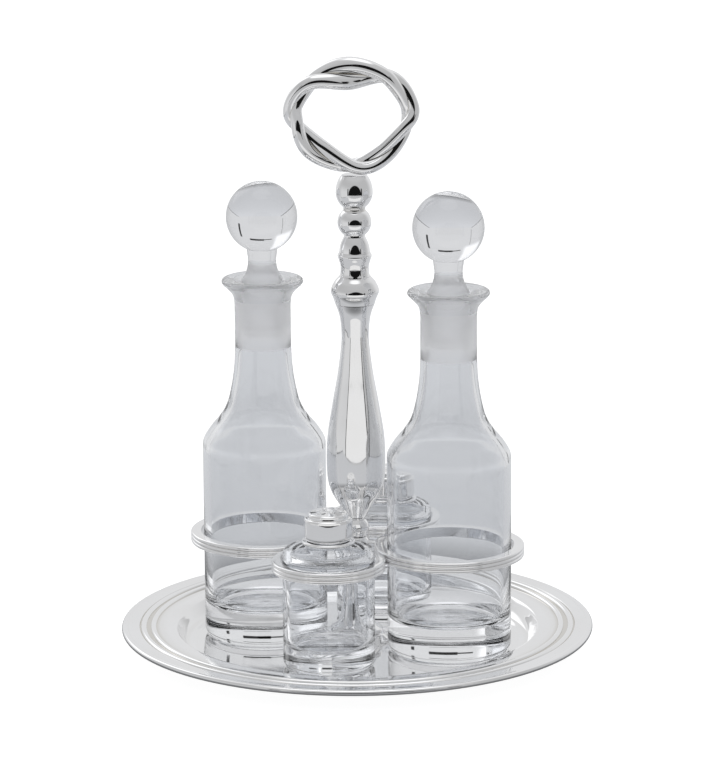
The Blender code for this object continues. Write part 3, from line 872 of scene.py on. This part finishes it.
def front_card():
    """A small white card close before the post, above the tray's edge. The camera doesn't see it."""
    half_width, half_height, across, forward, up = CARD
    bm = bmesh.new()
    bmesh.ops.create_grid(bm, x_segments=4, y_segments=2, size=1.0)
    for v in bm.verts:
        v.co = Vector((v.co.x * half_width + across, forward, v.co.y * half_height + up))
    finish = Finish("card")
    finish.surface(finish.emission(CARD_LIGHT))
    card = finished("front_card", bm, [finish.material])
    card.rotation_euler = (0.0, 0.0, FRONT)
    card.visible_camera = False
    card.visible_transmission = False


class Sky(Nodes):
    """The studio round the set: a pale tent with dark gaps, placed by azimuth and height."""

    def __init__(self):
        world = bpy.data.worlds.new("studio")
        bpy.context.scene.world = world
        world.use_nodes = True
        super().__init__(world.node_tree)
        self.background = self.tree.nodes["Background"]
        x, y, z = self.split(self.new("TexCoord").outputs["Generated"])
        turn = self.maths("ARCTAN2", x, self.times(y, -1.0))
        self.across = self.minus(self.times(turn, 180 / math.pi), math.degrees(FRONT))
        self.up = self.times(self.maths("ARCSINE", z), 180 / math.pi)

    def step(self, value, at, soft):
        """0 below a value and 1 above it, with a soft edge."""
        node = self.new("MapRange")
        node.interpolation_type = "SMOOTHSTEP"
        node.inputs["From Min"].default_value = at - soft
        node.inputs["From Max"].default_value = at + soft
        self.link(value, node.inputs["Value"])
        return node.outputs["Result"]

    def band(self, value, low, high, soft):
        return self.minus(self.step(value, low, soft), self.step(value, high, soft))

    def patch(self, across, up, soft):
        """1 inside a patch of azimuths and heights."""
        return self.times(self.band(self.across, *across, soft), self.band(self.up, *up, soft))

    def ray(self, kind):
        return self.new("LightPath").outputs[f"Is {kind} Ray"]


def tent_light(sky):
    """The tent's own light: more behind, at the left and high up."""
    behind = sky.step(sky.maths("ABSOLUTE", sky.across), *BEHIND_FROM)
    light = sky.plus(sky.times(behind, BEHIND_LIGHT), TENT_LIGHT)
    low = sky.minus(1.0, sky.step(sky.up, *LEFT_BELOW))
    left = sky.times(sky.band(sky.across, *LEFT_ACROSS), low)
    light = sky.plus(light, sky.times(left, LEFT_LIGHT))
    light = sky.plus(light, sky.times(sky.step(sky.up, *HIGH_FROM), HIGH_LIGHT))
    light = sky.plus(light, sky.times(sky.step(sky.up, *TOP_FROM), TOP_LIGHT))
    return sky.plus(light, sky.times(sky.patch(*BRIGHT), BRIGHT_LIGHT))


def tent_mouth(sky):
    """The dark room beyond the tent's mouth, round above and level below."""
    wide = sky.maths("POWER", sky.maths("DIVIDE", sky.minus(sky.across, MOUTH_ACROSS), MOUTH_HALF), 2.0)
    tall = sky.maths("POWER", sky.maths("DIVIDE", sky.minus(sky.up, MOUTH_UP), MOUTH_HALF), 2.0)
    inside = sky.minus(1.0, sky.step(sky.plus(wide, tall), 1.0, MOUTH_EDGE))
    return sky.times(inside, sky.step(sky.up, MOUTH_UP, 1.0))


def studio():
    sky = Sky()
    light = tent_light(sky)
    through = sky.ray("Transmission")
    dark = [sky.times(tent_mouth(sky), sky.minus(1.0, sky.times(through, MOUTH_THROUGH_GLASS)))]
    for across, up in GAPS:
        dark.append(sky.patch(across, up, GAP_SOFT))
    for across, up, share in BACKDROP_EDGES:  # only the glass shows them
        edge = sky.times(sky.patch(across, up, BACKDROP_SOFT), through)
        dark.append(sky.times(edge, share))
    for gap in dark:
        light = sky.times(light, sky.minus(1.0, sky.times(gap, DARKNESS)))
    seen = sky.new("Mix")
    seen.inputs["B"].default_value = BACKDROP_LIGHT
    sky.link(sky.ray("Camera"), seen.inputs["Factor"])
    sky.link(light, seen.inputs["A"])
    sky.link(seen.outputs["Result"], sky.background.inputs["Strength"])
    sky.background.inputs["Color"].default_value = TENT_COLOUR


def camera():
    level = math.cos(CAMERA_UP)
    back = Vector((math.sin(FRONT) * level, -math.cos(FRONT) * level, math.sin(CAMERA_UP)))
    right = Vector((math.cos(FRONT), math.sin(FRONT), 0.0))
    data = bpy.data.cameras.new("camera")
    data.lens = CAMERA_LENS
    data.sensor_width = SENSOR_WIDTH
    made = bpy.data.objects.new("camera", data)
    made.location = Vector((0.0, 0.0, TARGET_Z)) + right * TARGET_ACROSS + back * CAMERA_DISTANCE
    made.rotation_mode = "QUATERNION"
    made.rotation_quaternion = (-back).to_track_quat("-Z", "Y") @ Quaternion((0.0, 0.0, 1.0), CAMERA_ROLL)
    bpy.context.scene.collection.objects.link(made)
    bpy.context.scene.camera = made


def main():
    for piece in (tray, foot, bead, baluster, collar, acorn, stem, bracket):
        piece()
    for node in ("ring_left", "ring_right"):
        ring_holder(node, HOLDER_WALL)
    for node in ("ring_front", "ring_back"):
        ring_holder(node, HOLDER_WALL_SMALL)
    handle_ring()
    for side in ("left", "right"):
        bottle(side)
        stopper(side)
    for side in ("front", "back"):
        jar(side)
        neck_collar(side)
        cap(side)
    for node in ("tie_rod", "tray_nut", "tray_washer"):
        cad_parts[node].data.materials[0] = STEEL
    floor()
    front_card()
    studio()
    camera()
    scene = bpy.context.scene
    scene.view_settings.view_transform = "Standard"
    scene.cycles.max_bounces = 32  # enough to see through both bottles and into the jars
    scene.cycles.transmission_bounces = 32
    scene.cycles.glossy_bounces = 10


main()
